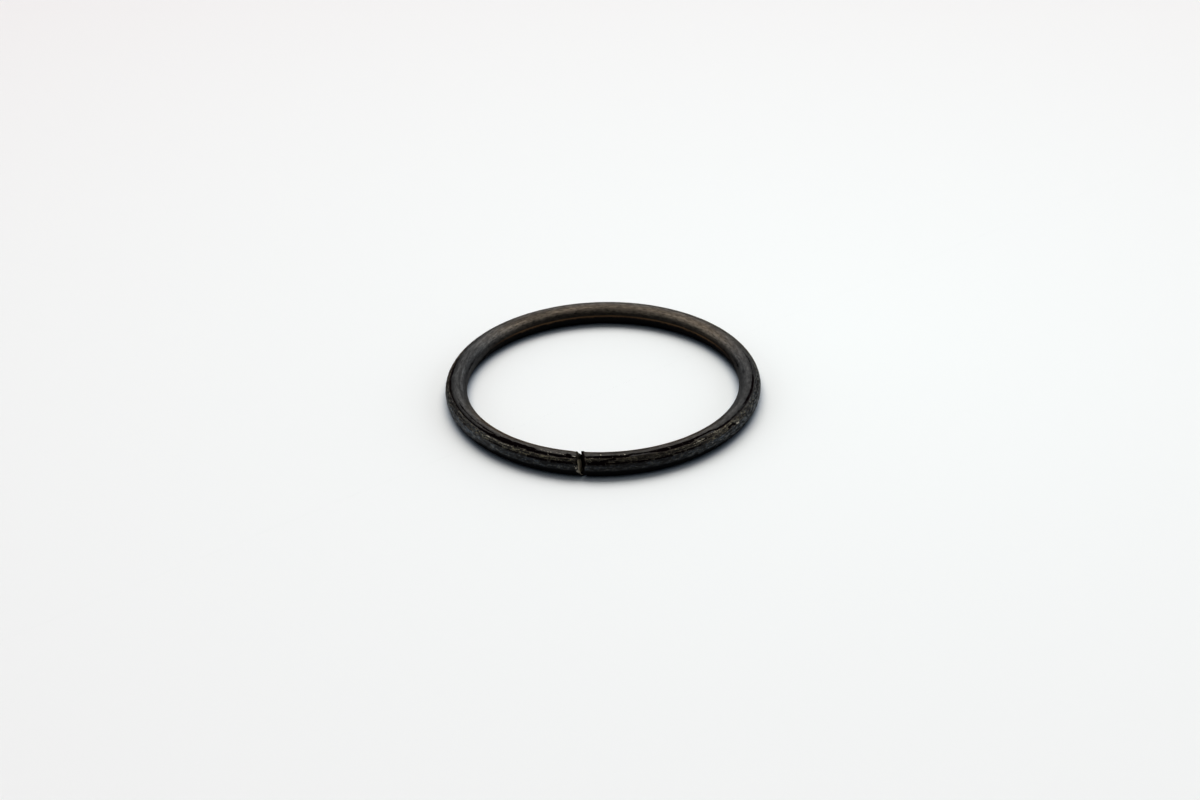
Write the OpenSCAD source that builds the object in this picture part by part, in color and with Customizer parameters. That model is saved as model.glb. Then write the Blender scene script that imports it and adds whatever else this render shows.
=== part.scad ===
// Round-wire retaining ring: one piece of spring steel wire, coiled to a circle and sheared off,
// that snaps into a groove round a shaft. Sizes are in millimetres.
// The ring's axis is Z, its middle is the origin, and its two ends meet at the front, at -Y.

/* [Ring] */
// Diameter of the round spring wire
wire_d = 2; // [1:0.05:3]
// Free inside diameter of the ring, across the wire's inner side
inside_d = 25; // [15:0.5:60]

/* [Sheared ends] */
// Room between the two ends where they stand closest, low on the inner side
end_clearance = 0.03; // [0.02:0.01:0.5]
// Angle that the left end's cut face leans back, its top furthest from the gap
left_lean = 12.5; // [0:0.5:20]
// Angle that the left end's cut face turns, its inner side furthest from the gap
left_turn = 3.5; // [0:0.5:10]
// Angle that the right end's cut face turns back, its outer side furthest from the gap
right_turn = 18; // [10:0.5:25]
// Angle that the right end's cut face overhangs, its top nearest to the gap
right_overhang = 6.5; // [0:0.5:12]
// Width of the edge that the shear rolled over round the left end
left_roll = 0.05; // [0.03:0.01:0.2]
// Width of the finer edge left round the right end
right_break = 0.03; // [0.03:0.01:0.2]

/* [Hidden] */

// Blackened and oiled spring steel
blackened = "#2b2926";

wire_r = wire_d / 2;
centre_r = inside_d / 2 + wire_r;

// The two cut faces make a wedge that opens upwards and outwards. Over the wire's section its
// width changes by this slope, so the clearance is what is left where the wedge is narrowest.
upward_slope = tan(left_lean) / cos(left_turn) - tan(right_overhang) / cos(right_turn);
outward_slope = tan(right_turn) - tan(left_turn);
wedge_slope = norm([upward_slope, outward_slope]);
half_mouth = (end_clearance + wire_r * wedge_slope) / 2;

// A cutting block this wide clears the wire's section on every side
block = 3 * wire_d;
// How far an edge cutter stands out past the wire, and past the cut face into the gap
proud = wire_r / 10;
past_face = end_clearance / 2;

// Facets round the ring and round the wire
ring_facets = 120;
wire_facets = 48;

// Each end has a frame of its own: its middle is on the wire's centre line,
// its cut face is at z = 0, and z points out of the steel into the gap.
module at_left_end() {
    translate([-half_mouth, -centre_r, 0])
        rotate([0, 90 - left_lean, left_turn])
            children();
}

module at_right_end() {
    translate([half_mouth, -centre_r, 0])
        rotate([0, -90 - right_overhang, right_turn])
            children();
}

// Everything in front of an end's cut face
module beyond_face() {
    translate([-block / 2, -block / 2, 0])
        cube(block);
}

// The wedge between the two cut faces
module gap() {
    intersection() {
        at_left_end() beyond_face();
        at_right_end() beyond_face();
    }
}

// Collar with a 45 degree bore that takes the sharp edge off a cut face
module edge_cutter(edge) {
    rotate_extrude($fn = wire_facets)
        polygon([
            [wire_r - edge - past_face, past_face],
            [wire_r + proud, past_face],
            [wire_r + proud, -edge - proud]
        ]);
}

// The wire, coiled to a full circle
module closed_coil() {
    rotate_extrude($fn = ring_facets)
        translate([centre_r, 0])
            circle(d = wire_d, $fn = wire_facets);
}

module snap_ring() {
    color(blackened)
        difference() {
            closed_coil();
            gap();
            at_left_end() edge_cutter(left_roll);
            at_right_end() edge_cutter(right_break);
        }
}

snap_ring();
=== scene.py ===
import math
import bmesh
import bpy
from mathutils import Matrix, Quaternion, Vector, noise


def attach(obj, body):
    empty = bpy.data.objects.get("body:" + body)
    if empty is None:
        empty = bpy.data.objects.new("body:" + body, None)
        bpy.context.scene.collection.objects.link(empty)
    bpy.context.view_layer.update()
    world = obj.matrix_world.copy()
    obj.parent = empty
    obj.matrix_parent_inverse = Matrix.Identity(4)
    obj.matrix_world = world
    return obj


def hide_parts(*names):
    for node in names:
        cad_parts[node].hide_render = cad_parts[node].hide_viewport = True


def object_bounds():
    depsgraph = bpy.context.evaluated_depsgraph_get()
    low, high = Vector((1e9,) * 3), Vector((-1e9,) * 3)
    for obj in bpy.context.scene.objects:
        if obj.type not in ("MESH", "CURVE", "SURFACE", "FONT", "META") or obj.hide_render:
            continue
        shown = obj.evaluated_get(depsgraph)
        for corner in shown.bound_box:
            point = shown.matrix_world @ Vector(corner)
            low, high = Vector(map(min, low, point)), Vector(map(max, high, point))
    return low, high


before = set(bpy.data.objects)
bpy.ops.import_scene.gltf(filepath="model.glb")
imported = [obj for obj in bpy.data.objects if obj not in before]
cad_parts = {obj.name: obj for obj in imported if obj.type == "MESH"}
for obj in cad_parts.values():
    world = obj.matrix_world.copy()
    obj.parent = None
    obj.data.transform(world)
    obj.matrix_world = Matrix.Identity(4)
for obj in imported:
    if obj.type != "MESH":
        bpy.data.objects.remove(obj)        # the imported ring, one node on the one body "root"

cadLow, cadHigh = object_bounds()
mm = 0.001
wireR = (cadHigh.z - cadLow.z) / 2 / mm              # radius of the wire
centreR = (cadHigh.x - cadLow.x) / 2 / mm - wireR    # radius of the wire's centre line
print("frame: wire radius %.3f mm, centre line radius %.3f mm" % (wireR, centreR))


# Shared helpers

def linear(hexColour, alpha=1.0):
    channels = [int(hexColour[i:i + 2], 16) / 255 for i in (1, 3, 5)]
    return (*[c / 12.92 if c <= 0.04045 else ((c + 0.055) / 1.055) ** 2.4 for c in channels], alpha)


def addNode(tree, kind, settings=None, inputs=None):
    # one node with its settings and its inputs, each a value or a link from another node's output
    node = tree.nodes.new(kind)
    for name, value in (settings or {}).items():
        setattr(node, name, value)
    for key, value in (inputs or {}).items():
        if isinstance(value, bpy.types.NodeSocket):
            tree.links.new(value, node.inputs[key])
        else:
            node.inputs[key].default_value = value
    return node


def newMaterial(name):
    # a Mix node's sockets go by number: 0 share, 2 and 3 numbers, 6 and 7 colours, output 0 or 2
    material = bpy.data.materials.new(name)
    material.use_nodes = True
    material.node_tree.nodes.clear()
    return material, material.node_tree


def rise(low, high, value):
    # 0 below low, 1 above high, and a smooth way between
    share = min(max((value - low) / (high - low), 0.0), 1.0)
    return share * share * (3 - 2 * share)


def fade(low, high, loss, value):
    # 1 below low, less by the loss above high, and a smooth way between
    return 1 - loss * rise(low, high, value)


def band(low, rising, falling, high, value):
    # 1 between the middle two, 0 outside the outer two, and a smooth way between
    return rise(low, rising, value) * (1 - rise(falling, high, value))


def within(degrees, highest):
    # the same direction, given between highest - 360 and highest
    degrees %= 360
    return degrees - 360 if degrees > highest else degrees


# Camera: the lens, height and turn that the ring's outlines in the photograph gave

camera = {
    "azimuth": 8.4,          # degrees to the right of the gap
    "elevation": 30.98,      # degrees above the floor
    "distance": 162.0,       # mm from the ring's middle
    "lensPixels": 1757.8,    # focal length in pixels of the 1200 x 800 picture
    "roll": 1.36,            # degrees, the picture's right side is the higher one
    "pictureSize": (1200, 800),
    "ringMiddle": (602.95, 382.5),   # pixel where the ring's middle lies
    "sensorWidth": 36.0,     # mm
    "clip": (0.01, 20.0),    # m, nearest and furthest place that the camera sees
}


def makeCamera(c):
    turn = math.radians(c["azimuth"])
    lift = math.radians(c["elevation"])
    back = Vector((math.sin(turn) * math.cos(lift), -math.cos(turn) * math.cos(lift), math.sin(lift)))
    data = bpy.data.cameras.new("photoCamera")
    data.sensor_width = c["sensorWidth"]
    data.lens = data.sensor_width * c["lensPixels"] / c["pictureSize"][0]
    data.clip_start, data.clip_end = c["clip"]
    right = (c["ringMiddle"][0] - c["pictureSize"][0] / 2) / c["lensPixels"]
    up = (c["pictureSize"][1] / 2 - c["ringMiddle"][1]) / c["lensPixels"]
    aim = (-back).to_track_quat("-Z", "Y")
    aim = aim @ Quaternion((0, 0, 1), -math.radians(c["roll"]))
    aim = aim @ Quaternion((1, 0, 0), -math.atan(up)) @ Quaternion((0, 1, 0), math.atan(right))
    obj = bpy.data.objects.new("photoCamera", data)
    obj.rotation_mode = "QUATERNION"
    obj.location = back * c["distance"] * mm
    obj.rotation_quaternion = aim
    bpy.context.collection.objects.link(obj)
    bpy.context.scene.camera = obj
    print("camera: lens %.1f mm" % data.lens)


makeCamera(camera)


# Floor and light: one broad soft box high at the back, paler walls behind it and at both sides

studio = {
    "floorSize": 8.0,            # m
    "floorColour": "#fafcfb",
    "farFloorColour": "#e8e1e1",     # painted light: the white is painted paler away from its brightest place, as the lamps' light would fall off
    "paintedLightCentre": (0.021, 0.012, 0.0),   # m, centre of that painted light, beside and behind the ring's middle
    "paintedLightFallOff": 0.22,             # m from there to the darker colour
    "paintedShadowReach": 0.004,       # m, how far from the ring a contact shadow is painted into the floor's colour
    "paintedShadowSamples": 12,
    "paintedShadowRange": {"From Min": 0.1, "From Max": 0.72},     # share of open sky, from black to white
    "paintedShadowTint": (-0.18, 0.0, 0.3),    # red, green and blue that the painted shadow's edge gains
    "backTurn": 8.4,             # degrees that the way to the back turns left of +Y
    # name, width and depth in m, distance in m, degrees to the right of the back, degrees up, W, colour
    "boxes": [
        ("softBox", 2.6, 1.6, 2.4, 0, 61.0, 46.5, "#fffdfa"),
        ("backWall", 5.2, 4.4, 3.0, 0, 36.0, 65.0, "#f8fcff"),
        ("leftWall", 3.2, 1.8, 2.0, -90, 20.0, 16.5, "#f2f9ff"),
        ("rightWall", 3.2, 1.8, 2.0, 85, 20.0, 21.0, "#f2f9ff")],
    "roomColour": "#262627",
}


def whiteTableTop(s):
    # matt white laminate, even to the eye, with light and shade painted into its colour: a painted pool of
    # light, and a painted contact shadow, darker and bluer at the wire, as the camera's contrast takes that
    # shadow to black
    material, tree = newMaterial("whiteTableTop")
    place = addNode(tree, "ShaderNodeTexCoord").outputs["Object"]
    # painted light: the floor's colour is brightest at one place and paler away from it
    away = addNode(tree, "ShaderNodeVectorMath", {"operation": "DISTANCE"}, {
        0: place, 1: s["paintedLightCentre"]}).outputs["Value"]
    far = addNode(tree, "ShaderNodeMapRange", None, {"Value": away, "From Max": s["paintedLightFallOff"]}).outputs[0]
    white = addNode(tree, "ShaderNodeMix", {"data_type": "RGBA"}, {
        0: far, 6: linear(s["floorColour"]), 7: linear(s["farFloorColour"])}).outputs[2]
    # painted shadow: the floor's colour is darkened and tinted blue where the ring hides the sky close by
    openSky = addNode(tree, "ShaderNodeAmbientOcclusion", {"samples": s["paintedShadowSamples"]}, {
        "Distance": s["paintedShadowReach"]}).outputs["AO"]
    lit = addNode(tree, "ShaderNodeMapRange", {"interpolation_type": "SMOOTHSTEP"}, {
        "Value": openSky, **s["paintedShadowRange"]}).outputs[0]
    unlit = addNode(tree, "ShaderNodeMath", {"operation": "SUBTRACT"}, {0: 1.0, 1: lit}).outputs[0]
    halfLit = addNode(tree, "ShaderNodeMath", {"operation": "MULTIPLY"}, {0: lit, 1: unlit}).outputs[0]
    shadow = addNode(tree, "ShaderNodeVectorMath", {"operation": "MULTIPLY_ADD"}, {
        0: halfLit, 1: s["paintedShadowTint"], 2: lit}).outputs[0]
    shaded = addNode(tree, "ShaderNodeVectorMath", {"operation": "MULTIPLY"}, {
        0: white, 1: shadow}).outputs[0]
    surface = addNode(tree, "ShaderNodeBsdfDiffuse", None, {"Color": shaded})
    addNode(tree, "ShaderNodeOutputMaterial", None, {"Surface": surface.outputs[0]})
    return material


def makeFloor(s):
    mesh = bpy.data.meshes.new("floor")
    bm = bmesh.new()
    bmesh.ops.create_grid(bm, x_segments=1, y_segments=1, size=s["floorSize"] / 2)
    bmesh.ops.translate(bm, verts=bm.verts, vec=(0, 0, cadLow.z))
    bm.to_mesh(mesh)
    bm.free()
    floor = bpy.data.objects.new("floor", mesh)
    bpy.context.collection.objects.link(floor)
    mesh.materials.append(whiteTableTop(s))
    print("floor: %.0f m wide, at z %.2f mm" % (s["floorSize"], cadLow.z / mm))


def makeLamps(s):
    for name, width, depth, distance, aside, elevation, power, colour in s["boxes"]:
        turn = math.radians(s["backTurn"] - aside)
        lift = math.radians(elevation)
        away = Vector((-math.sin(turn) * math.cos(lift), math.cos(turn) * math.cos(lift), math.sin(lift)))
        lamp = bpy.data.lights.new(name, "AREA")
        lamp.shape = "RECTANGLE"
        lamp.size = width
        lamp.size_y = depth
        lamp.energy = power
        lamp.color = linear(colour)[:3]
        lampObject = bpy.data.objects.new(name, lamp)
        lampObject.location = away * distance
        lampObject.rotation_mode = "QUATERNION"
        lampObject.rotation_quaternion = (-away).to_track_quat("-Z", "Y")
        bpy.context.collection.objects.link(lampObject)
    print("lamps: %d" % len(s["boxes"]))


def makeRoom(s):
    world = bpy.data.worlds.new("room")
    bpy.context.scene.world = world
    world.use_nodes = True
    tree = world.node_tree
    tree.nodes.clear()
    room = addNode(tree, "ShaderNodeBackground", inputs={"Color": linear(s["roomColour"])})
    addNode(tree, "ShaderNodeOutputWorld", inputs={"Surface": room.outputs[0]})
    bpy.context.scene.view_settings.view_transform = "Standard"
    print("room: colour %s" % s["roomColour"])


makeFloor(studio)
makeLamps(studio)
makeRoom(studio)


# The ring: one length of spring steel wire, coiled round and sheared off

ring = {
    "alongSteps": 1264,          # steps along the wire
    "endCrowding": 0.45,         # how much closer those steps stand at the ends than on average
    "roundSteps": 72,            # steps round the wire
    "trackCrowding": 0.45,       # how much closer those steps stand in the torn track
    "trackAngle": 116.0,         # degrees from the inner side over the top
    "weldReach": 1e-5,           # mm, points closer than this become one

    # the sheared ends, as in the part's source
    "endClearance": 0.03,        # mm
    "leftLean": 12.5,            # degrees
    "leftTurn": 3.5,
    "rightTurn": 18.0,
    "rightOverhang": 6.5,
    "leftRoll": 0.05,            # mm, rounded edge of the left end
    "rightRoll": 0.03,

    # what the shear did beyond that; angles go round the wire, with 0 on the inner side, 90 on top,
    # 180 on the outer side and negative ones under it, and depths are shares of the wire's radius
    "slantLength": 1.4,          # mm of wire over which a slanted end runs back to square
    "rimFade": 3,                # how much sooner a rim's own shift dies out, as a power
    "rollSteps": 4,              # loops round a rolled edge
    "faceLoops": (0.84, 0.76, 0.68, 0.6, 0.52, 0.44, 0.36, 0.28, 0.2, 0.1),
    "faceTear": 0.02,            # mm, roughness of the sheared faces
    "tear": (3.0, 0.8, 4),       # waves to a mm, how fast the finer ones weaken, and how many sizes
    "tearApart": 3,              # keeps the two faces' patterns apart
    "seamAngles": (-125, -95, 14, 28),   # low on the inner side, where the two ends touch
    "seamDepth": (0.6, 0.84),
    "seamPressed": 0.95,         # share of the rounded edge that is pressed flat there
    "burrBite": 0.004,           # mm that the burr low on the left end bites into the other end
    "burrDepth": (0.8, 0.9),
    "tipRise": 0.1,              # mm that the right end's inner top was pushed up
    "tipAngle": 54,
    "tipSpread": (0.93, 0.99),   # cosine of the way round from there
    "tipLength": (0.05, 0.3),    # mm from the end
    "leftPinch": 0.03,           # mm that the left end was pinched thinner
    "pinchLength": 0.8,          # mm
    "leftChip": 0.11,            # mm that its inner top rim stands back
    "chipAngles": (0, 25, 75, 105),
    "rightLip": 0.46,            # mm that the right end's lower outer rim stands out
    "lipRises": (145, 180, 200),     # half of it by the middle angle
    "lipFalls": (205, 250),
    "rimDepth": (0.68, 1.0),

    # tones of the left end's face, by the same angles and depths
    "burntRim": (100, 122, 156, 170),
    "burntRimDepth": (0.8, 0.9),
    # painted shade: depth from which the left face is kept dark where the two ends touch, in the slot
    # between them
    "slotShadeDepth": (0.62, 0.76),
    "burntTop": 0.95,            # how far its upper part is burnt
    "burntTopAngle": 59,
    "burntTopDepth": (0.15, 0.4),    # on the way out towards that angle
    "outerBright": 0.55,         # how bright its outer side is beside its inner side; the inner side, deep in the slot where shade falls, is painted brighter
    "brightDepth": (-0.8, 0.3),      # from the outer side to the inner side

    # Wear, painted sheen and painted shade, placed by the turn from the gap (degrees, positive towards the
    # right end, so the left end has the negative ones) and the angle round the wire.
    # (angle, how strongly the oxide shines there), for the far and the near half: partly rubbed oxide,
    # partly painted sheen on top where the highlight falls and painted shade underneath, where it is left
    # black
    "farFilmAndSheen": [
        (-30, 0.0), (6, 0.01), (20, 0.1), (28, 0.22), (35, 0.45), (45, 0.93), (55, 0.74), (65, 0.34),
        (75, 0.28), (90, 0.33), (105, 0.33), (130, 0.28), (190, 0.15), (205, 0.0)],
    "nearFilmAndSheen": [
        (-35, 0.0), (-5, 0.1), (6, 0.12), (20, 0.15), (28, 0.19), (35, 0.25), (45, 0.31), (55, 0.31),
        (65, 0.25), (75, 0.27), (85, 0.3), (95, 0.2), (112, 0.12), (130, 0.1), (184, 0.06), (192, 0.0)],
    # (turn, angle, half length, half width, change) of the film's shine: painted highlights where the
    # change is positive, painted shade where it is negative
    "sheen": [
        (-158, 60, 9, 12, 0.3), (-80, 57, 10, 9, 0.4), (-95, 27, 4, 10, -0.5), (109, 33, 7, 10, -0.5),
        (-142, 70, 20, 16, -0.25), (150, 52, 18, 14, 0.2), (150, 28, 16, 10, -0.35),
        (-145, 30, 18, 11, -0.4), (-90, 4, 24, 20, 1.1), (90, 8, 22, 18, 0.3), (-90, 80, 18, 25, -0.18),
        (-46, 68, 15, 14, 0.5), (15, 79, 16, 20, -0.38), (42, 60, 16, 12, -0.38),
        (-45, 168, 17, 22, 1.3), (90, 89, 18, 7, -0.3), (90, 103, 18, 8, -0.3), (178, 34, 16, 9, 0.35),
        (-178, 34, 16, 9, 0.35)],
    # (angle, how much the outer side is scuffed), for the front and for the sides and back
    "frontScuff": [
        (114, 0.0), (124, 0.5), (130, 0.93), (142, 0.62), (151, 0.2), (162, 0.48), (176, 0.5),
        (186, 0.15), (193, 0.0)],
    "sideScuff": [
        (108, 0.0), (124, 0.8), (146, 0.8), (152, 0.7), (162, 1.0), (181, 0.9), (192, 0.25),
        (200, 0.0)],
    # (turn, share) of those scuffs round the ring
    "scuffTurns": [
        (-181, 0.7), (-110, 0.55), (-78, 0.6), (-60, 1.1), (-45, 1.42), (-30, 1.2), (-20, 1.05),
        (0, 0.9), (10, 0.6), (45, 0.77), (60, 0.9), (75, 1.0), (105, 0.9), (181, 0.7)],
    # (turn, angle, half width, how torn) along the scar in the top of the wire
    "track": [
        (-100, 108, 2, 0.0), (-95, 114, 9, 0.5), (-86, 117, 8, 0.7), (-74, 125, 6, 0.6),
        (-66, 121, 5, 0.7), (-55, 120, 3, 0.8), (-45, 119, 4, 1.0), (-38, 119, 6, 1.0),
        (-35, 113, 12, 1.0), (-30, 112, 14, 1.0), (-18, 112, 14, 1.0), (-16, 119, 8, 1.0),
        (-6, 119, 6, 1.0), (-5, 111, 14, 1.0), (-3.4, 112, 13, 1.0), (-2.6, 120, 4, 1.0),
        (0, 116, 5, 1.0), (5, 113, 7, 1.0), (9, 111, 8, 1.0), (12, 111, 8, 1.0), (14, 114, 8, 1.0),
        (16.5, 114, 8, 1.0), (18, 106, 5, 0.8), (24, 107, 5, 0.7), (27, 110, 9, 1.0),
        (30, 112, 11, 1.0), (41, 112, 10, 1.0), (44, 105, 6, 0.8), (51, 105, 5, 0.8), (53, 114, 5, 0.9),
        (59, 116, 5, 1.0), (62, 114, 5, 0.5), (70, 113, 8, 0.5), (79, 110, 8, 0.7), (84, 109, 7, 0.8),
        (93, 106, 6, 0.8), (96, 103, 4, 0.5), (107, 103, 4, 0.6), (112, 96, 6, 0.4), (120, 100, 4, 0.3),
        (123, 100, 2, 0.0)],
    # strokes, each from (turn, angle) to (turn, angle), with its half width in mm and its strength
    "gouges": [
        (-62, 102, -47, 101, 0.05, 0.7), (-46, 101, -35, 102, 0.06, 0.75),
        (-36, 147, -30, 148, 0.07, 0.8), (-28, 150, -23, 150, 0.06, 0.8),
        (-19, 150, -12, 151, 0.09, 0.9), (-10, 150, -2.6, 150, 0.1, 0.95),
        (-57, 138, -52, 141, 0.06, 0.7), (-52, 150, -50, 153, 0.07, 0.8),
        (-69, 136, -64, 139, 0.07, 0.7), (2, 148, 8, 149, 0.09, 1.0), (3.5, 144, 8, 137, 0.11, 1.0),
        (8, 137, 12, 125, 0.09, 1.0), (9, 146, 16, 147, 0.07, 0.9), (0.8, 50, 1.0, 104, 0.08, 0.9),
        (0.8, 106, 0.8, 205, 0.04, 0.7), (-0.9, 130, -0.9, 162, 0.05, 0.9),
        (14, 166, 16, 168, 0.1, 0.4), (18, 148, 24, 150, 0.08, 0.9), (26, 151, 32, 151, 0.08, 0.9),
        (33, 147, 37, 149, 0.07, 0.8), (38, 149, 44, 150, 0.07, 0.8), (45.5, 132, 49, 134, 0.07, 0.95),
        (58.4, 141, 61.5, 139, 0.09, 1.0), (60.4, 139, 62, 148, 0.08, 1.0),
        (66, 142, 70, 144, 0.05, 0.8), (-138.5, 71, -137, 73, 0.06, 0.35),
        (-133, 60, -131, 61, 0.05, 0.35)],
    # the same for places rubbed down to the steel
    "bare": [
        (-38, 130, -26, 131, 0.045, 0.75), (-46, 133, -41, 131, 0.04, 0.4),
        (-15, 103, -12.5, 106, 0.06, 0.8), (-12.2, 107, -10.6, 105, 0.05, 0.7),
        (-9, 104, -6.4, 108, 0.05, 0.8), (-2.2, 112, -1.1, 113, 0.06, 0.9),
        (-1.3, 170, -0.9, 210, 0.15, 0.75), (3, 119, 4.6, 121, 0.05, 1.0),
        (6.9, 96, 7.1, 103, 0.04, 0.6), (12.5, 101, 14.5, 102, 0.05, 0.45),
        (15.4, 99, 15.6, 106, 0.06, 0.75), (9.5, 133, 12, 133, 0.03, 0.5),
        (39.5, 130, 44.5, 129, 0.045, 0.8), (42.5, 126, 46, 128, 0.05, 0.9),
        (46, 128, 49, 136, 0.04, 0.7), (50, 121, 54, 122, 0.045, 0.6), (52, 129, 58, 136, 0.04, 0.45),
        (57.6, 121, 58.4, 122, 0.04, 0.8), (62.8, 149, 64, 151, 0.07, 1.0)],

    # depths in mm
    "skinDepth": 0.004,          # unevenness of the drawn skin
    "scuffDepth": 0.02,
    "scarDepth": 0.055,
    "grooveDepth": 0.0385,       # the line along the scar's outer side
    "gougeDepth": 0.033,
    "bareHeight": 0.0165,        # burrs pushed up where the steel is bare

    # patterns: waves to a mm, how fast the finer waves weaken, and how many sizes of them
    "rough": (2.6, 0.9, 4),
    "fine": (8.0, 0.8, 3),
    "specks": (5.0, 0.7, 3),
    "streaks": (1.0, 0.9, 4),
    "streakStretch": (0.7, 4.5),     # along and across the wire
    "skinWaves": 0.9,

    # edges of the marks, in degrees or in half widths: how far the patterns move them, and from
    # where to where they fade, with what is lost as a third value
    "scarWander": (2.0, 1.5),        # with the rough and the fine pattern
    "scarSoftness": 3,
    "scarGaps": (-0.9, -0.45),       # lowest streaks, where the scar breaks off
    "gapRoughness": 0.4,
    "grooveAt": 0.6,                 # of the scar's half width
    "grooveWidth": (0.8, 2.4, 1),
    "scuffWander": 3,
    "scuffGrows": 8,                 # degrees down from the scar's middle
    "scuffStartWander": 4,
    "strokeEdge": (0.6, 1.4, 1),
    "strokeRagged": 0.6,
    "strokeMargin": 1,               # degrees past a stroke's ends that it can still reach
    "patchEdge": (0.65, 1.15, 1),
    "patchRagged": 0.35,
    "patchReach": 1.8,               # half lengths, past which a patch is nowhere
    "sheenRagged": 0.5,
    "bareRagged": 1.2,
    "bareBreaks": (-0.45, 0.1),      # lowest values of the fine pattern and the streaks
    "bareStreaks": 0.6,
    "speckRange": (0.35, 0.6),
    "speckStrength": 0.35,
    "scuffUneven": (0.5, 0.5, 0.25),     # level, share of the rough and share of the fine pattern
    "scarUneven": (0.55, 0.4, 0.3),      # level, share of the streaks and share of the fine pattern
    "filmUneven": (0.15, 0.2),           # share of the rough pattern and share of the streaks

    # regions, from where to where they grow or fade, by turns to both sides of the gap
    "frontFades": (28, 62, 1),
    "nearHalfFades": (95, 135, 1),
    "farHalf": (100, 140),
    "frontWarmFades": (30, 75, 1),
    "reflectionTurns": (110, 140),
    # by turns to the right and to the left of it: where the scuffs are cold
    "coldRight": (55, 80, 105, 125),
    "coldLeft": (28, 45, 70, 85),
    "coldLeftShare": 0.6,
    # by angles round the wire
    "farWarmFades": (62, 92, 0.6),
    "topWarmFades": (68, 86, 0.65),
    "outerWarm": (112, 122, 148, 158),
    "farLoss": 0.5,              # of the outer side's warmth on the far half
    "coldLoss": 0.75,            # of that warmth where the scuffs are cold
    "reflectionAngle": 5,
    "reflectionWander": 2,
    "reflectionWidth": (1.5, 7, 1),
    "reflectionStreaks": (-0.9, -0.1),
    "reflectionLoss": 0.3,            # where the streaks are lowest
}
toneNames = ("filmAndSheen", "warm", "scuffed", "torn", "bare", "paintedReflection", "sheared")
speckPlace = Vector((31.0, 7.0, 0.0))    # keeps the specks apart from the other patterns
plainTop = 112.0                         # angle where the scuffs begin when there is no scar


def slope(angle):
    return math.tan(math.radians(angle))


leftUp = slope(ring["leftLean"]) / math.cos(math.radians(ring["leftTurn"]))
leftIn = slope(ring["leftTurn"])
rightUp = slope(ring["rightOverhang"]) / math.cos(math.radians(ring["rightTurn"]))
rightIn = slope(ring["rightTurn"])
wedgeSlope = math.hypot(leftUp - rightUp, rightIn - leftIn)
halfMouth = (ring["endClearance"] + wireR * wedgeSlope) / 2
wireLength = 2 * math.pi * centreR - 2 * halfMouth


def leftSlant(inward, height):
    # how far the left end's face stands to the right of the plane through its middle
    return -leftIn * inward - leftUp * height


def rightSlant(inward, height):
    # the same for the right end's face
    return -rightIn * inward - rightUp * height


def bend(along, inward, height):
    # a point of the straight wire, wound round the ring, in metres; along starts at the gap's middle
    turn = along / centreR
    reach = centreR - inward
    return Vector((reach * math.sin(turn), -reach * math.cos(turn), height)) * mm


def knotted(knots, place):
    # the values between the two knots on either side of a place, or none outside them
    if place <= knots[0][0] or place >= knots[-1][0]:
        return None
    for left, right in zip(knots, knots[1:]):
        if place <= right[0]:
            share = (place - left[0]) / (right[0] - left[0])
            return [a + (b - a) * share for a, b in zip(left[1:], right[1:])]


def pattern(place, waves, weakening, sizes, shift=Vector((0, 0, 0))):
    # fractal noise, from about -1 to 1, each size of wave half as long as the last
    return noise.fractal(place * waves + shift, weakening, 2.0, sizes)


def spots(marks, turn, angle, rough):
    # the strongest of the ragged patches that cover a place
    best = 0.0
    for markTurn, markAngle, length, width, strength in marks:
        across = (turn - markTurn) / length
        if abs(across) < ring["patchReach"]:
            away = math.hypot(across, (angle - markAngle) / width) + ring["patchRagged"] * rough
            cover = strength * fade(*ring["patchEdge"], away)
            best = max(best, cover, key=abs)
    return best


def strokes(marks, turn, angle, rough):
    # the strongest of the ragged strokes that cover a place
    best = 0.0
    margin = ring["strokeMargin"]
    for turnA, angleA, turnB, angleB, half, strength in marks:
        if turnA - margin < turn < turnB + margin:
            start = onSkin(turnA, angleA)
            way = onSkin(turnB, angleB) - start
            place = onSkin(turn, angle) - start
            share = min(max(place.dot(way) / way.length_squared, 0), 1)
            away = (place - way * share).length / half + ring["strokeRagged"] * rough
            best = max(best, strength * fade(*ring["strokeEdge"], away))
    return best


def onSkin(turn, angle):
    # a place on the wire's skin rolled out flat, in mm
    return Vector((math.radians(turn) * centreR, math.radians(angle) * wireR))


def scar(turn, angle, rough, fine, streak):
    # how torn the top is, how deep the groove in the scar is, and where the scar's middle lies
    track = knotted(ring["track"], turn)
    if not track:
        return 0.0, 0.0, plainTop
    middle, half, strength = track
    offset = angle - middle - ring["scarWander"][0] * rough - ring["scarWander"][1] * fine
    unbroken = rise(*ring["scarGaps"], streak + ring["gapRoughness"] * rough)
    soft = ring["scarSoftness"]
    torn = strength * unbroken * (1 - rise(half - soft, half + soft, abs(offset)))
    groove = strength * fade(*ring["grooveWidth"], abs(offset - half * ring["grooveAt"]))
    return torn, groove, middle


def scuffs(turn, angle, start, rough):
    # how far the outer side is scuffed, from the scar's middle down
    wandering = angle + ring["scuffWander"] * rough
    frontScuff = knotted(ring["frontScuff"], wandering) or [0.0]
    sideScuff = knotted(ring["sideScuff"], wandering) or [0.0]
    front = fade(*ring["frontFades"], abs(turn))
    share = rise(start, start + ring["scuffGrows"], angle + ring["scuffStartWander"] * rough)
    share *= sideScuff[0] + (frontScuff[0] - sideScuff[0]) * front
    return min(share * knotted(ring["scuffTurns"], turn)[0], 1.0)


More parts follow.
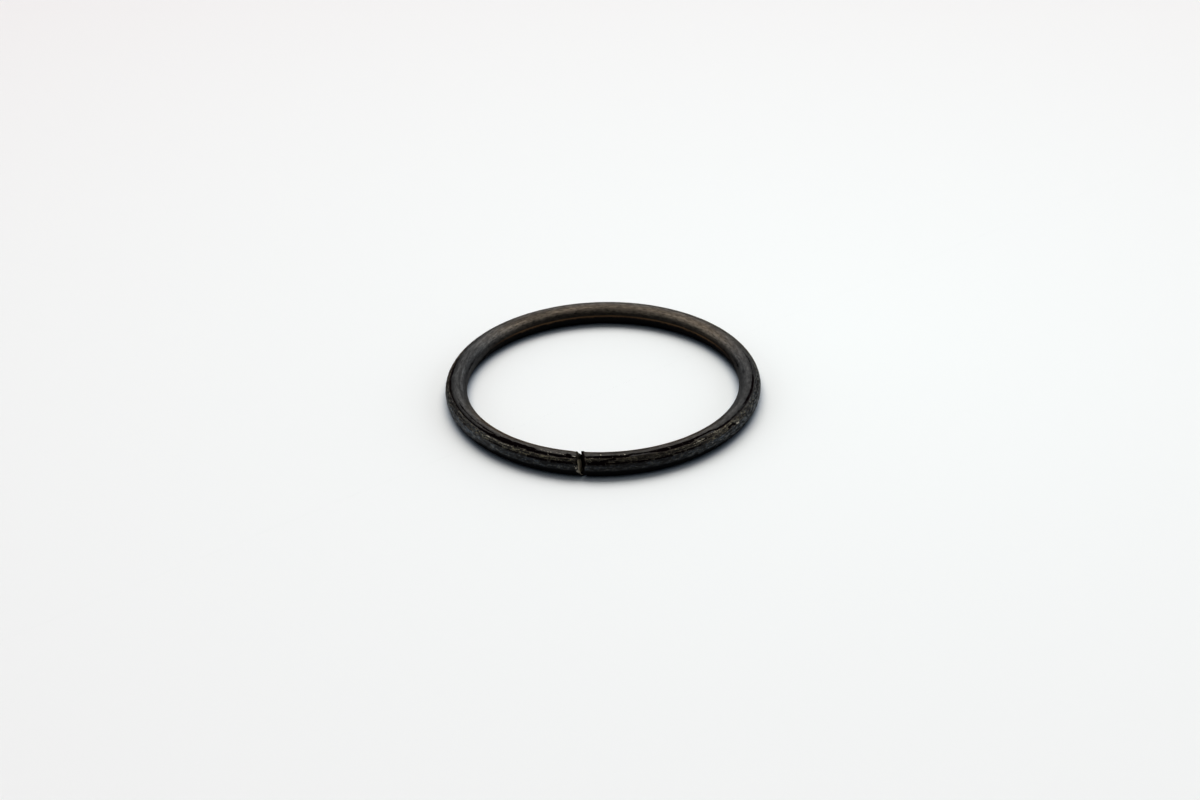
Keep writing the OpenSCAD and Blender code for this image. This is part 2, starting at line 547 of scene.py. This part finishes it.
def filmAndSheenThere(turn, angle, nearHalf, rough, streak):
    # how strongly the oxide film shines: partly rubbed oxide, partly painted sheen and shade that follow
    # where the highlight falls
    farFilmAndSheen = knotted(ring["farFilmAndSheen"], angle) or [0.0]
    nearFilmAndSheen = knotted(ring["nearFilmAndSheen"], angle) or [0.0]
    filmAndSheen = farFilmAndSheen[0] + (nearFilmAndSheen[0] - farFilmAndSheen[0]) * nearHalf
    uneven = ring["filmUneven"][0] * rough + ring["filmUneven"][1] * streak
    # the sheen spots add painted highlights where positive and painted shade where negative
    return filmAndSheen * (1 + uneven + spots(ring["sheen"], turn, angle, ring["sheenRagged"] * rough))


def warmth(turn, angle):
    # 1 where the film and the scuffs are brown, 0 where they are grey
    far = rise(*ring["farHalf"], abs(turn))
    farWarm = far * fade(*ring["farWarmFades"], angle)
    if angle < ring["outerWarm"][0]:
        frontWarm = fade(*ring["frontWarmFades"], abs(turn)) * fade(*ring["topWarmFades"], angle)
        return max(farWarm, frontWarm)
    cold = band(*ring["coldRight"], turn) + ring["coldLeftShare"] * band(*ring["coldLeft"], -turn)
    outerWarm = (1 - ring["coldLoss"] * cold) * (1 - ring["farLoss"] * far)
    return max(farWarm, outerWarm * band(*ring["outerWarm"], angle))


def paintedFloorReflection(turn, angle, rough, streak):
    # painted reflection of the lit floor: the orange-brown line low on the inner side of the far half
    away = abs(angle - ring["reflectionAngle"] - ring["reflectionWander"] * rough)
    line = fade(*ring["reflectionWidth"], away) * rise(*ring["reflectionTurns"], abs(turn))
    return line * (1 - ring["reflectionLoss"] + ring["reflectionLoss"] * rise(*ring["reflectionStreaks"], streak))


def relief(along, section):
    # how deep the surface lies below the drawn wire in mm, and its tones in the order of toneNames
    place = Vector((along, wireR * math.cos(section), wireR * math.sin(section)))
    turn = within(math.degrees(along / centreR), 180)
    angle = within(math.degrees(section), 270)
    lengthwise, across = ring["streakStretch"]
    stretched = Vector((place.x * lengthwise, place.y * across, place.z * across))
    rough = pattern(place, *ring["rough"])
    fine = pattern(place, *ring["fine"])
    streak = pattern(stretched, *ring["streaks"])
    nearHalf = fade(*ring["nearHalfFades"], abs(turn))

    torn, groove, scarMiddle = scar(turn, angle, rough, fine, streak)
    gouge = strokes(ring["gouges"], turn, angle, rough + fine)
    torn = max(torn, gouge)
    scuffed = scuffs(turn, angle, scarMiddle, rough) * (1 - torn)
    bare = strokes(ring["bare"], turn, angle, ring["bareRagged"] * (rough + fine))
    bare *= rise(*ring["bareBreaks"], fine + ring["bareStreaks"] * streak)
    speck = rise(*ring["speckRange"], pattern(place, *ring["specks"], speckPlace))
    bare = max(bare, ring["speckStrength"] * speck * nearHalf * torn * (1 - gouge))
    filmAndSheen = filmAndSheenThere(turn, angle, nearHalf, rough, streak)

    depth = ring["skinDepth"] * (0.5 + 0.5 * noise.noise(place * ring["skinWaves"]))
    level, roughShare, fineShare = ring["scuffUneven"]
    depth += scuffed * ring["scuffDepth"] * (level + roughShare * rough + fineShare * fine)
    level, streakShare, fineShare = ring["scarUneven"]
    depth += torn * ring["scarDepth"] * (level + streakShare * streak + fineShare * fine)
    depth += max(groove * ring["grooveDepth"], gouge * ring["gougeDepth"])
    depth -= bare * ring["bareHeight"] * (1 - gouge)
    tones = (filmAndSheen, warmth(turn, angle), scuffed, torn, bare, paintedFloorReflection(turn, angle, rough, streak), 0.0)
    return max(depth, 0.0), tones


def makeRing():
    bm = bmesh.new()
    bmesh.ops.create_grid(bm, x_segments=ring["alongSteps"], y_segments=ring["roundSteps"], size=1)
    sectionLayer = bm.verts.layers.float.new("section")
    toneLayers = [bm.verts.layers.float.new(name) for name in toneNames]
    wireLayer = bm.verts.layers.float_vector.new("wireCoord")
    for v in bm.verts:
        share = (v.co.x + 1) / 2
        base = math.pi * v.co.y
        crowding = ring["endCrowding"] * math.sin(2 * math.pi * share) / (2 * math.pi)
        fromRight = wireLength * (share - crowding)
        fromLeft = wireLength - fromRight
        along = halfMouth + fromRight
        section = math.radians(ring["trackAngle"]) + base - ring["trackCrowding"] * math.sin(base)
        depth, tones = relief(along, section)
        depth += endShape(fromRight, fromLeft, section)
        inward = (wireR - depth) * math.cos(section)
        height = (wireR - depth) * math.sin(section)
        if fromRight < ring["slantLength"]:
            run = 1 - fromRight / ring["slantLength"]
            along += run * (rightSlant(inward, height) + edgeRoll(1, section))
            along -= run ** ring["rimFade"] * rimShift(1, section)
        elif fromLeft < ring["slantLength"]:
            run = 1 - fromLeft / ring["slantLength"]
            along += run * (leftSlant(inward, height) - edgeRoll(-1, section))
            along += run ** ring["rimFade"] * rimShift(-1, section)
        v[sectionLayer] = section
        for layer, tone in zip(toneLayers, tones):
            v[layer] = tone
        v[wireLayer] = (along, wireR * math.cos(section), wireR * math.sin(section))
        v.co = bend(along, inward, height)
    bmesh.ops.remove_doubles(bm, verts=bm.verts, dist=ring["weldReach"] * mm)
    closeEnd(bm, 1, rightSlant, sectionLayer, toneLayers, wireLayer)
    closeEnd(bm, -1, leftSlant, sectionLayer, toneLayers, wireLayer)
    bmesh.ops.recalc_face_normals(bm, faces=bm.faces)
    for face in bm.faces:
        face.smooth = True
    mesh = bpy.data.meshes.new("snapRing")
    bm.to_mesh(mesh)
    bm.free()
    obj = bpy.data.objects.new("snapRing", mesh)
    bpy.context.collection.objects.link(obj)
    triangles = sum(len(p.vertices) - 2 for p in mesh.polygons)
    print("ring: %d points, %d triangles" % (len(mesh.vertices), triangles))
    return obj


def endShape(fromRight, fromLeft, section):
    # the shear pinched the left end thinner and pushed up the right end's inner top
    pinched = ring["leftPinch"] * (1 - rise(0, ring["pinchLength"], fromLeft))
    towardsTip = math.cos(section - math.radians(ring["tipAngle"]))
    raised = ring["tipRise"] * rise(*ring["tipSpread"], towardsTip)
    return pinched - raised * (1 - rise(*ring["tipLength"], fromRight))


def seam(section):
    # 1 low on the inner side, where the two ends touch
    return band(*ring["seamAngles"], within(math.degrees(section), 180))


def edgeRoll(side, section):
    # width of the rounded edge, which is pressed flat where the ends touch
    roll = ring["rightRoll"] if side > 0 else ring["leftRoll"]
    return roll * (1 - ring["seamPressed"] * seam(section))


def rimShift(side, section):
    # how far the shear left the rim standing out of the cut face's plane, or chipped it back
    if side < 0:
        return -ring["leftChip"] * band(*ring["chipAngles"], within(math.degrees(section), 180))
    angle = within(math.degrees(section), 360)
    start, middle, full = ring["lipRises"]
    risen = 0.5 * (rise(start, middle, angle) + rise(middle, full, angle))
    return ring["rightLip"] * risen * (1 - rise(*ring["lipFalls"], angle))


def closeEnd(bm, side, slant, sectionLayer, toneLayers, wireLayer):
    # the rolled edge and the sheared face of one end, loop by loop to its middle; side is 1 at the right
    middle = halfMouth if side > 0 else 2 * math.pi * centreR - halfMouth
    edges = [e for e in bm.edges if e.is_boundary]
    edges = [e for e in edges if (e.verts[0][wireLayer].x < wireLength / 2) == (side > 0)]
    quarter = math.pi / 2
    steps = [(None, quarter * (k + 1) / ring["rollSteps"]) for k in range(ring["rollSteps"])]
    steps += [(faceShare, quarter) for faceShare in ring["faceLoops"]]
    for faceShare, rolled in steps:
        made = bmesh.ops.extrude_edge_only(bm, edges=edges)["geom"]
        points = [g for g in made if isinstance(g, bmesh.types.BMVert)]
        edges = [g for g in made if isinstance(g, bmesh.types.BMEdge) and g.is_boundary]
        for v in points:
            section = v[sectionLayer]
            roll = edgeRoll(side, section)
            share = faceShare or 1 - roll / wireR * (1 - math.cos(rolled))
            inward = share * wireR * math.cos(section)
            height = share * wireR * math.sin(section)
            tornPlace = Vector((side * ring["tearApart"], inward, height))
            tear = ring["faceTear"] * pattern(tornPlace, *ring["tear"])
            tear *= 1 - seam(section) * rise(*ring["seamDepth"], share)
            out = -roll * (1 - math.sin(rolled)) - max(tear, 0.0)
            out += rimShift(side, section) * rise(*ring["rimDepth"], share)
            if side < 0:
                out += burr(section, share) * (mouth(inward, height) + ring["burrBite"] - out)
            along = middle + slant(inward, height) - side * out
            v.co = bend(along, inward, height)
            v[wireLayer] = (along, inward, height)
            for layer, tone in zip(toneLayers, faceTones(side, share, section)):
                v[layer] = tone
    bmesh.ops.pointmerge(bm, verts=points, merge_co=bend(middle, 0, 0))


def mouth(inward, height):
    # room between the two cut faces
    return 2 * halfMouth + rightSlant(inward, height) - leftSlant(inward, height)


def burr(section, share):
    # 1 where the left end's lower inner rim was squeezed out against the other end
    return seam(section) * rise(*ring["burrDepth"], share)


def faceTones(side, share, section):
    # the right face, which looks into the slot, is dark; the left one is pale apart from its upper part,
    # part of its rim, and its lower inner part where the two ends touch, which is painted shade in the slot
    # between them
    if side > 0:
        return 0.0, 0.0, 0.0, 1.0, 0.0, 0.0, 0.0
    rim = band(*ring["burntRim"], within(math.degrees(section), 180)) * rise(*ring["burntRimDepth"], share)
    # painted shade in the slot, where the two ends touch
    paintedSlotShade = seam(section) * rise(*ring["slotShadeDepth"], share)
    upwards = share * math.cos(section - math.radians(ring["burntTopAngle"]))
    darkened = max(rim, paintedSlotShade, ring["burntTop"] * rise(*ring["burntTopDepth"], upwards))
    # painted light: the face is painted paler towards its inner side, deep in the slot, where shade falls
    inner = rise(*ring["brightDepth"], share * math.cos(section))
    bright = ring["outerBright"] + (1 - ring["outerBright"]) * inner
    return 0.0, 1.0, 0.0, darkened, 0.0, 0.0, (1 - darkened) * bright


# Black oxide on drawn spring steel, oiled: a warm sheen where it is handled, dead black elsewhere;
# the film's shine round the wire is partly painted sheen on top and painted shade underneath

steel = {
    "brownFilm": "#776c5f",      # the thin brown-black film on the far part and on top
    "greyFilm": "#6f6f6f",       # the same film where it turned neutral
    "greyEdge": "#b4b4b4",       # what the film keeps of a reflection seen along it
    "brownEdge": "#ad9683",
    "blackFilmAndShade": "#0c0c0d",      # hardly reflecting; the oxide's own black, left wherever the film does not shine, and painted shade underneath
    "warmScuff": "#66604f",      # film rubbed thin on the high spots
    "coldScuff": "#3b4753",
    "torn": "#080405",           # burnt reddish black in the scar
    "paintedFloorReflection": "#523f2d",          # painted reflection of the lit floor: an orange-brown line where the far part's inner side turns under
    "bareSteel": "#958f82",      # steel showing through, tarnished cream
    "shearedSteel": "#c9bea6",   # the left end's cut face
    "filmRoughness": 0.52,
    "scuffRoughness": 0.55,
    "bareRoughness": 0.45,
    "dryRoughness": 0.7,         # torn and sheared places
    "scuffMetallic": 0.55,       # dirt and loose oxide keep these from reflecting as metal does
    "shearedMetallic": 0.2,
    "oil": 0.12,                 # how much of the worn outer side the oil film covers
    "oilRoughness": 0.35,
    "grainSize": 0.05,           # mm, coarser than the oxide's real grain, so that it shows
    "fleckSize": 0.13,           # mm, flecks of colour and worn dashes
    "mottleSize": 0.4,           # mm
    "lineSpacing": 0.1,          # mm across the wire between drawing lines, as coarse as shows
    "lineStretch": 25.0,         # how much longer than wide those lines are
    "dashStretch": 3.6,          # the same for the short worn dashes
    "bumpHeight": 0.012,         # mm
    # how a pattern's values become a share of a finish
    "filmBreaks": {"From Min": 0.3, "From Max": 0.7, "To Min": 0.4, "To Max": 1.6},
    "lineBreaks": {"From Min": 0.3, "From Max": 0.7, "To Min": 0.8, "To Max": 1.2},
    "scuffDashes": {"From Min": 0.46, "From Max": 0.57, "To Min": 0.0, "To Max": 1.0},
    "scuffMottles": {"From Min": 0.36, "From Max": 0.58, "To Min": 0.25, "To Max": 1.05},
    "scuffFlecks": {"From Min": 0.4, "From Max": 0.6, "To Min": 0.45, "To Max": 1.5},
    "raggedEdges": {"From Min": 0.3, "From Max": 0.7, "To Min": -0.28, "To Max": 0.28},
    "fleckHue": {"From Min": 0.4, "From Max": 0.6, "To Min": -0.6, "To Max": 0.6},
    "filmFlecks": 0.25,          # share of those flecks that the film shows
    # how a mask's values become a share
    "tornEdge": {"From Min": 0.3, "From Max": 0.62},
    "bareEdge": {"From Min": 0.28, "From Max": 0.8},
    "tintGrows": {"From Min": 0.02, "From Max": 0.12},
    "metalGrows": {"From Min": 0.0, "From Max": 0.1},
    "glossGrows": {"From Min": 0.0, "From Max": 0.5, "To Min": 0.0, "To Max": 0.5},
    "bumpStrength": 0.5,
}


def blackenedSpringSteel(s):
    # the masks come with the mesh, and patterns in millimetres along and round the wire break them up
    material, tree = newMaterial("blackenedSpringSteel")
    wire = addNode(tree, "ShaderNodeAttribute", {"attribute_name": "wireCoord"}).outputs["Vector"]
    filmAndSheen, warm, scuffed, torn, bare, paintedReflection, sheared = [
        addNode(tree, "ShaderNodeAttribute", {"attribute_name": name}).outputs["Fac"] for name in toneNames]

    # patterns: drawing lines, short worn dashes, mottles, flecks of colour and grain
    longWire = addNode(tree, "ShaderNodeVectorMath", {"operation": "MULTIPLY"}, {
        0: wire, 1: (1 / s["lineStretch"], 1, 1)}).outputs[0]
    dashWire = addNode(tree, "ShaderNodeVectorMath", {"operation": "MULTIPLY"}, {
        0: wire, 1: (1 / s["dashStretch"], 1, 1)}).outputs[0]
    lines = addNode(tree, "ShaderNodeTexNoise", None, {
        "Vector": longWire, "Scale": 1 / s["lineSpacing"], "Detail": 3.0, "Roughness": 0.6}).outputs["Fac"]
    dashes = addNode(tree, "ShaderNodeTexNoise", None, {
        "Vector": dashWire, "Scale": 1 / s["fleckSize"], "Detail": 3.0, "Roughness": 0.6}).outputs["Fac"]
    mottle = addNode(tree, "ShaderNodeTexNoise", None, {
        "Vector": wire, "Scale": 1 / s["mottleSize"], "Detail": 5.0, "Roughness": 0.65}).outputs["Fac"]
    flecks = addNode(tree, "ShaderNodeTexNoise", None, {
        "Vector": wire, "Scale": 1 / s["fleckSize"], "Detail": 2.0, "Roughness": 0.5}).outputs["Fac"]
    grain = addNode(tree, "ShaderNodeTexNoise", None, {
        "Vector": wire, "Scale": 1 / s["grainSize"], "Detail": 4.0, "Roughness": 0.65}).outputs["Fac"]

    # shares: how much of each finish shows at a place
    filmBreaks = addNode(tree, "ShaderNodeMapRange", None, {
        "Value": dashes, **s["filmBreaks"]}).outputs[0]
    lineBreaks = addNode(tree, "ShaderNodeMapRange", None, {
        "Value": lines, **s["lineBreaks"]}).outputs[0]
    breaks = addNode(tree, "ShaderNodeMath", {"operation": "MULTIPLY"}, {
        0: filmBreaks, 1: lineBreaks}).outputs[0]
    # how much of the film's colour shows: partly rubbed oxide, partly painted sheen on top and painted
    # shade underneath
    filmAndSheenShare = addNode(tree, "ShaderNodeMath", {"operation": "MULTIPLY", "use_clamp": True}, {
        0: filmAndSheen, 1: breaks}).outputs[0]
    dashed = addNode(tree, "ShaderNodeMapRange", None, {
        "Value": dashes, **s["scuffDashes"]}).outputs[0]
    mottled = addNode(tree, "ShaderNodeMapRange", None, {
        "Value": mottle, **s["scuffMottles"]}).outputs[0]
    flecked = addNode(tree, "ShaderNodeMapRange", None, {
        "Value": flecks, **s["scuffFlecks"]}).outputs[0]
    worn = addNode(tree, "ShaderNodeMath", {"operation": "MULTIPLY"}, {0: dashed, 1: mottled}).outputs[0]
    worn = addNode(tree, "ShaderNodeMath", {"operation": "MULTIPLY"}, {0: worn, 1: flecked}).outputs[0]
    scuffShare = addNode(tree, "ShaderNodeMath", {"operation": "MULTIPLY", "use_clamp": True}, {
        0: scuffed, 1: worn}).outputs[0]
    ragged = addNode(tree, "ShaderNodeMapRange", None, {
        "Value": dashes, **s["raggedEdges"]}).outputs[0]
    tornEdge = addNode(tree, "ShaderNodeMath", {"operation": "ADD"}, {0: torn, 1: ragged}).outputs[0]
    tornShare = addNode(tree, "ShaderNodeMapRange", {"interpolation_type": "SMOOTHSTEP"}, {
        "Value": tornEdge, **s["tornEdge"]}).outputs[0]
    bareEdge = addNode(tree, "ShaderNodeMath", {"operation": "ADD"}, {0: bare, 1: ragged}).outputs[0]
    bareShare = addNode(tree, "ShaderNodeMapRange", {"interpolation_type": "SMOOTHSTEP"}, {
        "Value": bareEdge, **s["bareEdge"]}).outputs[0]
    fleckHue = addNode(tree, "ShaderNodeMapRange", None, {
        "Value": flecks, **s["fleckHue"]}).outputs[0]
    hue = addNode(tree, "ShaderNodeMath", {"operation": "ADD", "use_clamp": True}, {
        0: warm, 1: fleckHue}).outputs[0]
    filmHue = addNode(tree, "ShaderNodeMix", None, {
        0: s["filmFlecks"], 2: warm, 3: hue}).outputs[0]
    tintShare = addNode(tree, "ShaderNodeMapRange", None, {
        "Value": filmAndSheen, **s["tintGrows"]}).outputs[0]
    edgeTint = addNode(tree, "ShaderNodeMix", {"data_type": "RGBA"}, {
        0: warm, 6: linear(s["greyEdge"]), 7: linear(s["brownEdge"])}).outputs[2]
    tint = addNode(tree, "ShaderNodeMix", {"data_type": "RGBA"}, {
        0: tintShare, 6: (0, 0, 0, 1), 7: edgeTint}).outputs[2]

    # colours, from the film up to the bare steel
    filmColour = addNode(tree, "ShaderNodeMix", {"data_type": "RGBA"}, {
        0: filmHue, 6: linear(s["greyFilm"]), 7: linear(s["brownFilm"])}).outputs[2]
    scuffColour = addNode(tree, "ShaderNodeMix", {"data_type": "RGBA"}, {
        0: hue, 6: linear(s["coldScuff"]), 7: linear(s["warmScuff"])}).outputs[2]
    colour = addNode(tree, "ShaderNodeMix", {"data_type": "RGBA"}, {
        0: filmAndSheenShare, 6: linear(s["blackFilmAndShade"]), 7: filmColour}).outputs[2]
    # the orange-brown line among these finishes is a painted reflection of the lit floor
    for share, finish in ((scuffShare, scuffColour), (paintedReflection, linear(s["paintedFloorReflection"])),
                          (tornShare, linear(s["torn"])), (bareShare, linear(s["bareSteel"])),
                          (sheared, linear(s["shearedSteel"]))):
        colour = addNode(tree, "ShaderNodeMix", {"data_type": "RGBA"}, {
            0: share, 6: colour, 7: finish}).outputs[2]

    # how rough and how metallic the same finishes are
    rough = s["filmRoughness"]
    for share, value in ((scuffShare, s["scuffRoughness"]), (tornShare, s["dryRoughness"]),
                         (bareShare, s["bareRoughness"]), (sheared, s["dryRoughness"])):
        rough = addNode(tree, "ShaderNodeMix", None, {0: share, 2: rough, 3: value}).outputs[0]
    metallic = addNode(tree, "ShaderNodeMapRange", None, {
        "Value": filmAndSheen, **s["metalGrows"]}).outputs[0]
    for share, value in ((scuffShare, s["scuffMetallic"]), (tornShare, 0.0), (bareShare, 1.0),
                         (sheared, s["shearedMetallic"])):
        metallic = addNode(tree, "ShaderNodeMix", None, {0: share, 2: metallic, 3: value}).outputs[0]
    gloss = addNode(tree, "ShaderNodeMapRange", None, {
        "Value": scuffShare, **s["glossGrows"]}).outputs[0]
    oiled = addNode(tree, "ShaderNodeMath", {"operation": "MULTIPLY"}, {
        0: scuffed, 1: s["oil"]}).outputs[0]

    height = addNode(tree, "ShaderNodeMath", {"operation": "ADD"}, {0: lines, 1: grain}).outputs[0]
    bump = addNode(tree, "ShaderNodeBump", None, {
        "Strength": s["bumpStrength"], "Distance": s["bumpHeight"] * mm, "Height": height}).outputs[0]
    surface = addNode(tree, "ShaderNodeBsdfPrincipled", None, {
        "Base Color": colour, "Metallic": metallic, "Roughness": rough, "Specular Tint": tint,
        "Specular IOR Level": gloss, "Coat Weight": oiled, "Coat Roughness": s["oilRoughness"],
        "Normal": bump})
    addNode(tree, "ShaderNodeOutputMaterial", None, {"Surface": surface.outputs[0]})
    print("steel: %d nodes" % len(tree.nodes))
    return material


ringObject = makeRing()
ringObject.data.materials.append(blackenedSpringSteel(steel))
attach(ringObject, "root")
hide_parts("snap_ring")
